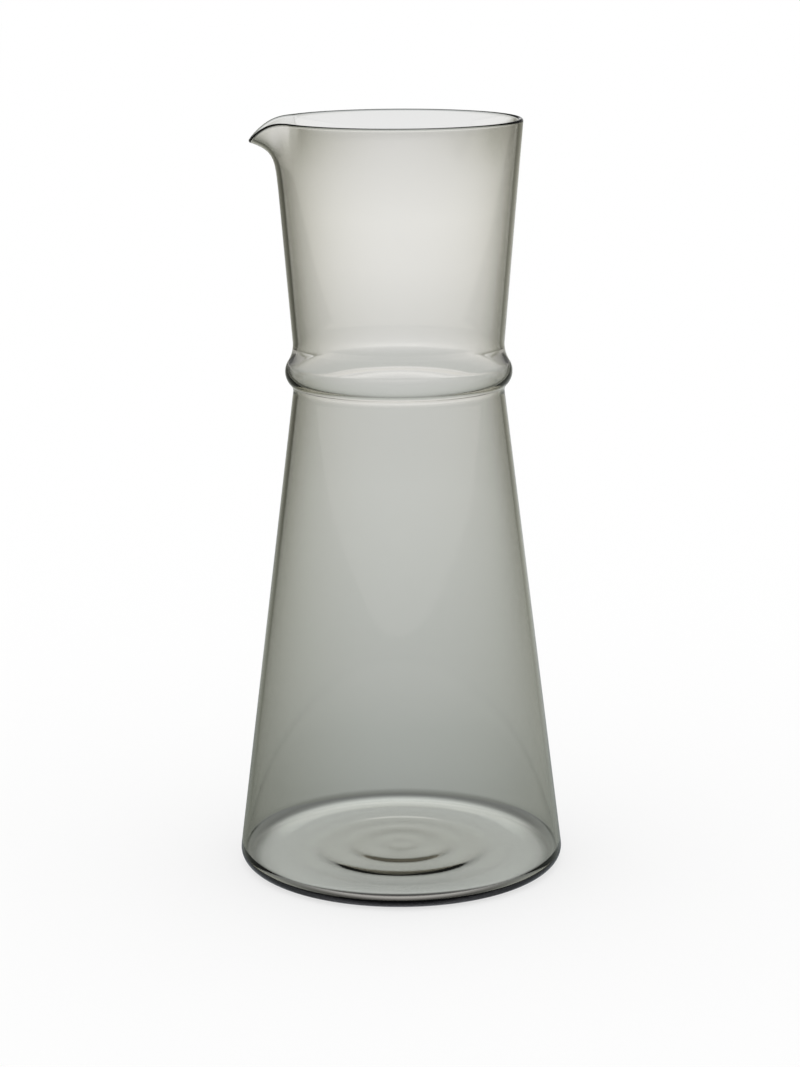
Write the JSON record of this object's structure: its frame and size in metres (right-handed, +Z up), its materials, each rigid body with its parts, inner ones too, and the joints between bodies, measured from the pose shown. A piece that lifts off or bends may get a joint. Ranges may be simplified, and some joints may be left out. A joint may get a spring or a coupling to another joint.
{
  "type": "water carafe",
  "caption": "Tall smoke-grey blown-glass water carafe: conical body on a rippled base, hollow collar at the waist, flared neck and a pulled pouring spout.",
  "frame": {"origin": "middle of the foot, on the table", "axes": "+Z up along the carafe's axis, -X towards the spout, -Y towards the viewer of the picture"},
  "size_m": [0.1094, 0.1094, 0.25],
  "materials": {
    "smoke_glass": "clear, smoke-grey, fire-polished"
  },
  "bodies": {
    "root": {"glass_body": "smoke_glass"}
  },
  "joints": []
}
